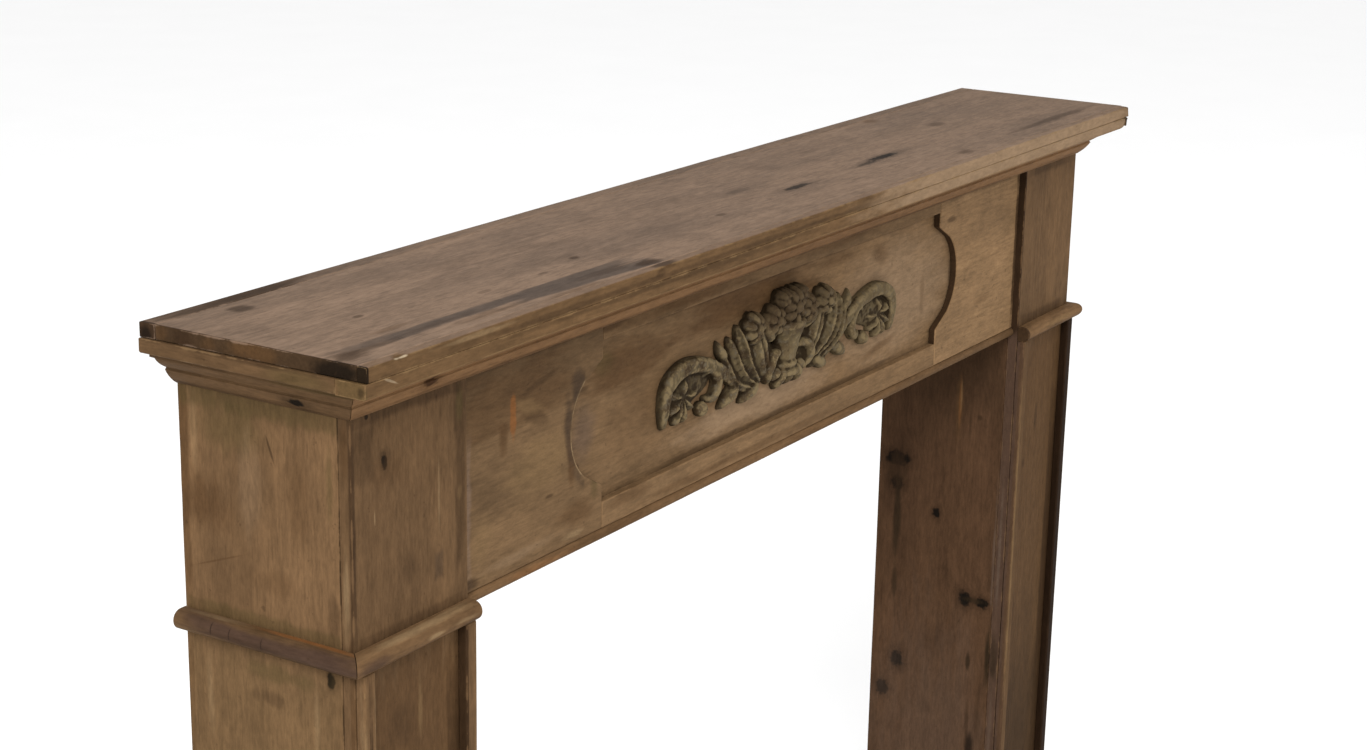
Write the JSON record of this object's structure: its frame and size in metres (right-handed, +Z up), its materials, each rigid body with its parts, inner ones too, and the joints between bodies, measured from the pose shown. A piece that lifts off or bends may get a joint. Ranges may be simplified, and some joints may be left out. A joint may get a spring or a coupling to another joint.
{
  "type": "fireplace mantel",
  "caption": "Rustic pine fireplace mantel: moulded shelf on boxed legs, with a panelled frieze and a carved urn-and-acanthus ornament, to stand against a wall around a hearth.",
  "frame": {"origin": "on the floor, below the middle of the shelf's length and depth", "axes": "+X to the right along the shelf, +Y back towards the wall, +Z up; the front looks along -Y"},
  "size_m": [1.5, 0.234, 1.1],
  "materials": {
    "pine_shelf": "pale grey-brown weathered pine, matt",
    "pine_face": "warm brown waxed pine, matt",
    "pine_edge": "worn brown pine moulding, satin on the arrises",
    "pine_dark": "dark stained pine, matt",
    "pine_carved": "olive-grey patinated carving with dark hollows"
  },
  "bodies": {
    "root": {"shelf_board": "pine_shelf", "shelf_front_lipping": "pine_shelf", "shelf_back_strip": "pine_dark", "shelf_under_strip_front": "pine_shelf", "shelf_under_strip_left": "pine_face", "shelf_under_strip_right": "pine_face", "crown_front": "pine_face", "crown_left": "pine_face", "crown_right": "pine_face", "frieze_panel": "pine_face", "frieze_end_left": "pine_face", "frieze_end_right": "pine_face", "frieze_top_rail": "pine_face", "frieze_bottom_rail": "pine_face", "frieze_bead": "pine_edge", "carved_ornament": "pine_carved", "leg_left_front_board": "pine_face", "leg_left_outer_board": "pine_face", "leg_left_inner_board": "pine_dark", "leg_left_edge_strip_left": "pine_edge", "leg_left_edge_strip_right": "pine_edge", "astragal_left_front": "pine_edge", "astragal_left_side": "pine_dark", "plinth_left_front": "pine_edge", "plinth_left_side": "pine_edge", "leg_right_front_board": "pine_face", "leg_right_outer_board": "pine_face", "leg_right_inner_board": "pine_dark", "leg_right_edge_strip_left": "pine_edge", "leg_right_edge_strip_right": "pine_edge", "astragal_right_front": "pine_edge", "astragal_right_side": "pine_dark", "plinth_right_front": "pine_edge", "plinth_right_side": "pine_edge"}
  },
  "joints": []
}
